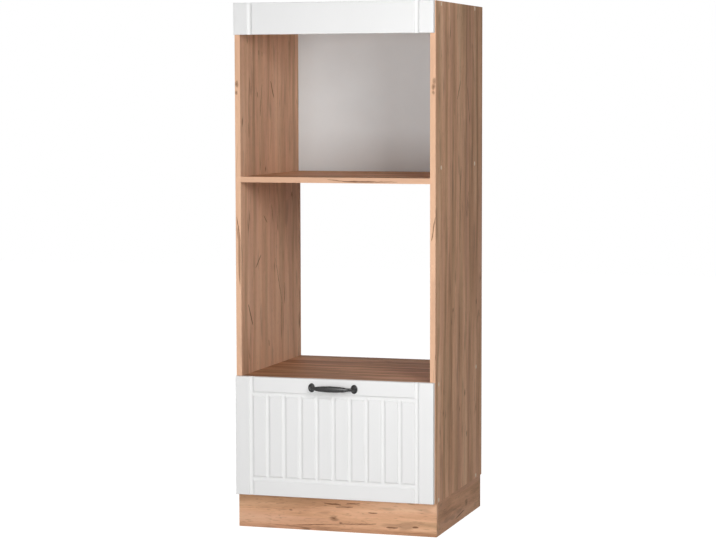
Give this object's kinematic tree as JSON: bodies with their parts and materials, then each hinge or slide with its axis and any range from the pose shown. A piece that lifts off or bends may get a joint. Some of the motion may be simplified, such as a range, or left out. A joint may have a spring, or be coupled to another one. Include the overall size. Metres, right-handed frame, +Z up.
{
  "type": "microwave cabinet",
  "caption": "Tall kitchen cabinet for a built-in oven and a microwave: wood-look carcass on a plinth, open niches, white milled fascia and a milled drawer with a black bow handle.",
  "frame": {"origin": "on the floor, below the middle of the overall box", "axes": "+Z up, -Y towards the drawer front, +X to the right when facing the front"},
  "size_m": [0.6, 0.5814, 1.525],
  "materials": {
    "oak_board": "satin laminate with a rustic oak print",
    "white_front": "satin white foil on milled fibreboard",
    "hardboard": "light grey lacquered face",
    "drawer_board": "white melamine",
    "black_metal": "satin black",
    "rail_steel": "white powder coat",
    "zinc_steel": "bright zinc",
    "roller_plastic": "matt",
    "cap_plastic": "matt"
  },
  "bodies": {
    "carcass": {"side_panel_left": "oak_board", "side_panel_right": "oak_board", "top_panel": "oak_board", "microwave_shelf": "oak_board", "oven_shelf": "oak_board", "bottom_panel": "oak_board", "back_panel": "hardboard", "drawer_bay_back": "hardboard", "plinth_front": "oak_board", "plinth_rear": "oak_board", "plinth_side_left": "oak_board", "plinth_side_right": "oak_board", "fascia_panel": "white_front", "fascia_bracket_left": "zinc_steel", "fascia_bracket_right": "zinc_steel", "cabinet_rail_left": "rail_steel", "cabinet_rail_right": "rail_steel", "top_connector_left_front": "zinc_steel", "top_connector_left_rear": "zinc_steel", "top_connector_right_front": "zinc_steel", "top_connector_right_rear": "zinc_steel", "oven_shelf_connector_left_front": "zinc_steel", "oven_shelf_connector_left_rear": "zinc_steel", "oven_shelf_connector_right_front": "zinc_steel", "oven_shelf_connector_right_rear": "zinc_steel", "bottom_connector_left_front": "zinc_steel", "bottom_connector_left_rear": "zinc_steel", "bottom_connector_right_front": "zinc_steel", "bottom_connector_right_rear": "zinc_steel", "shelf_bolt_left_front": "zinc_steel", "shelf_bolt_left_rear": "zinc_steel", "shelf_bolt_right_front": "zinc_steel", "shelf_bolt_right_rear": "zinc_steel", "shelf_cam_left_front": "zinc_steel", "shelf_cam_left_rear": "zinc_steel", "shelf_cam_right_front": "zinc_steel", "shelf_cam_right_rear": "zinc_steel", "spare_hole_cap_left_front": "cap_plastic", "spare_hole_cap_left_rear": "cap_plastic", "spare_hole_cap_right_front": "cap_plastic", "spare_hole_cap_right_rear": "cap_plastic"},
    "drawer": {"drawer_front": "white_front", "drawer_side_left": "drawer_board", "drawer_side_right": "drawer_board", "drawer_box_front": "drawer_board", "drawer_box_back": "drawer_board", "drawer_bottom": "hardboard", "drawer_rail_left": "rail_steel", "drawer_rail_right": "rail_steel", "drawer_handle": "black_metal", "handle_screw_left": "zinc_steel", "handle_screw_right": "zinc_steel", "drawer_front_screw_left": "zinc_steel", "drawer_front_screw_right": "zinc_steel"},
    "front_roller_left": {"front_roller_left": "roller_plastic"},
    "front_roller_right": {"front_roller_right": "roller_plastic"},
    "rear_roller_left": {"rear_roller_left": "roller_plastic"},
    "rear_roller_right": {"rear_roller_right": "roller_plastic"}
  },
  "joints": [
    {"name": "drawer_slide", "type": "slide", "parent": "carcass", "child": "drawer", "axis": [0, -1, 0], "range_m": [0, 0.37]},
    {"name": "front_roller_left_spin", "type": "hinge", "parent": "carcass", "child": "front_roller_left", "pos_m": [-0.2783, -0.23125, 0.1375], "axis": [1, 0, 0], "continuous": true},
    {"name": "front_roller_right_spin", "type": "hinge", "parent": "carcass", "child": "front_roller_right", "pos_m": [0.2783, -0.23125, 0.1375], "axis": [1, 0, 0], "continuous": true},
    {"name": "rear_roller_left_spin", "type": "hinge", "parent": "drawer", "child": "rear_roller_left", "pos_m": [-0.2767, 0.23925, 0.1375], "axis": [1, 0, 0], "continuous": true},
    {"name": "rear_roller_right_spin", "type": "hinge", "parent": "drawer", "child": "rear_roller_right", "pos_m": [0.2767, 0.23925, 0.1375], "axis": [1, 0, 0], "continuous": true}
  ],
  "couplings": [
    {"joint": "front_roller_left_spin", "follows": "drawer_slide", "rad_per_m": 90.909},
    {"joint": "front_roller_right_spin", "follows": "drawer_slide", "rad_per_m": 90.909},
    {"joint": "rear_roller_left_spin", "follows": "drawer_slide", "rad_per_m": 90.909},
    {"joint": "rear_roller_right_spin", "follows": "drawer_slide", "rad_per_m": 90.909}
  ]
}
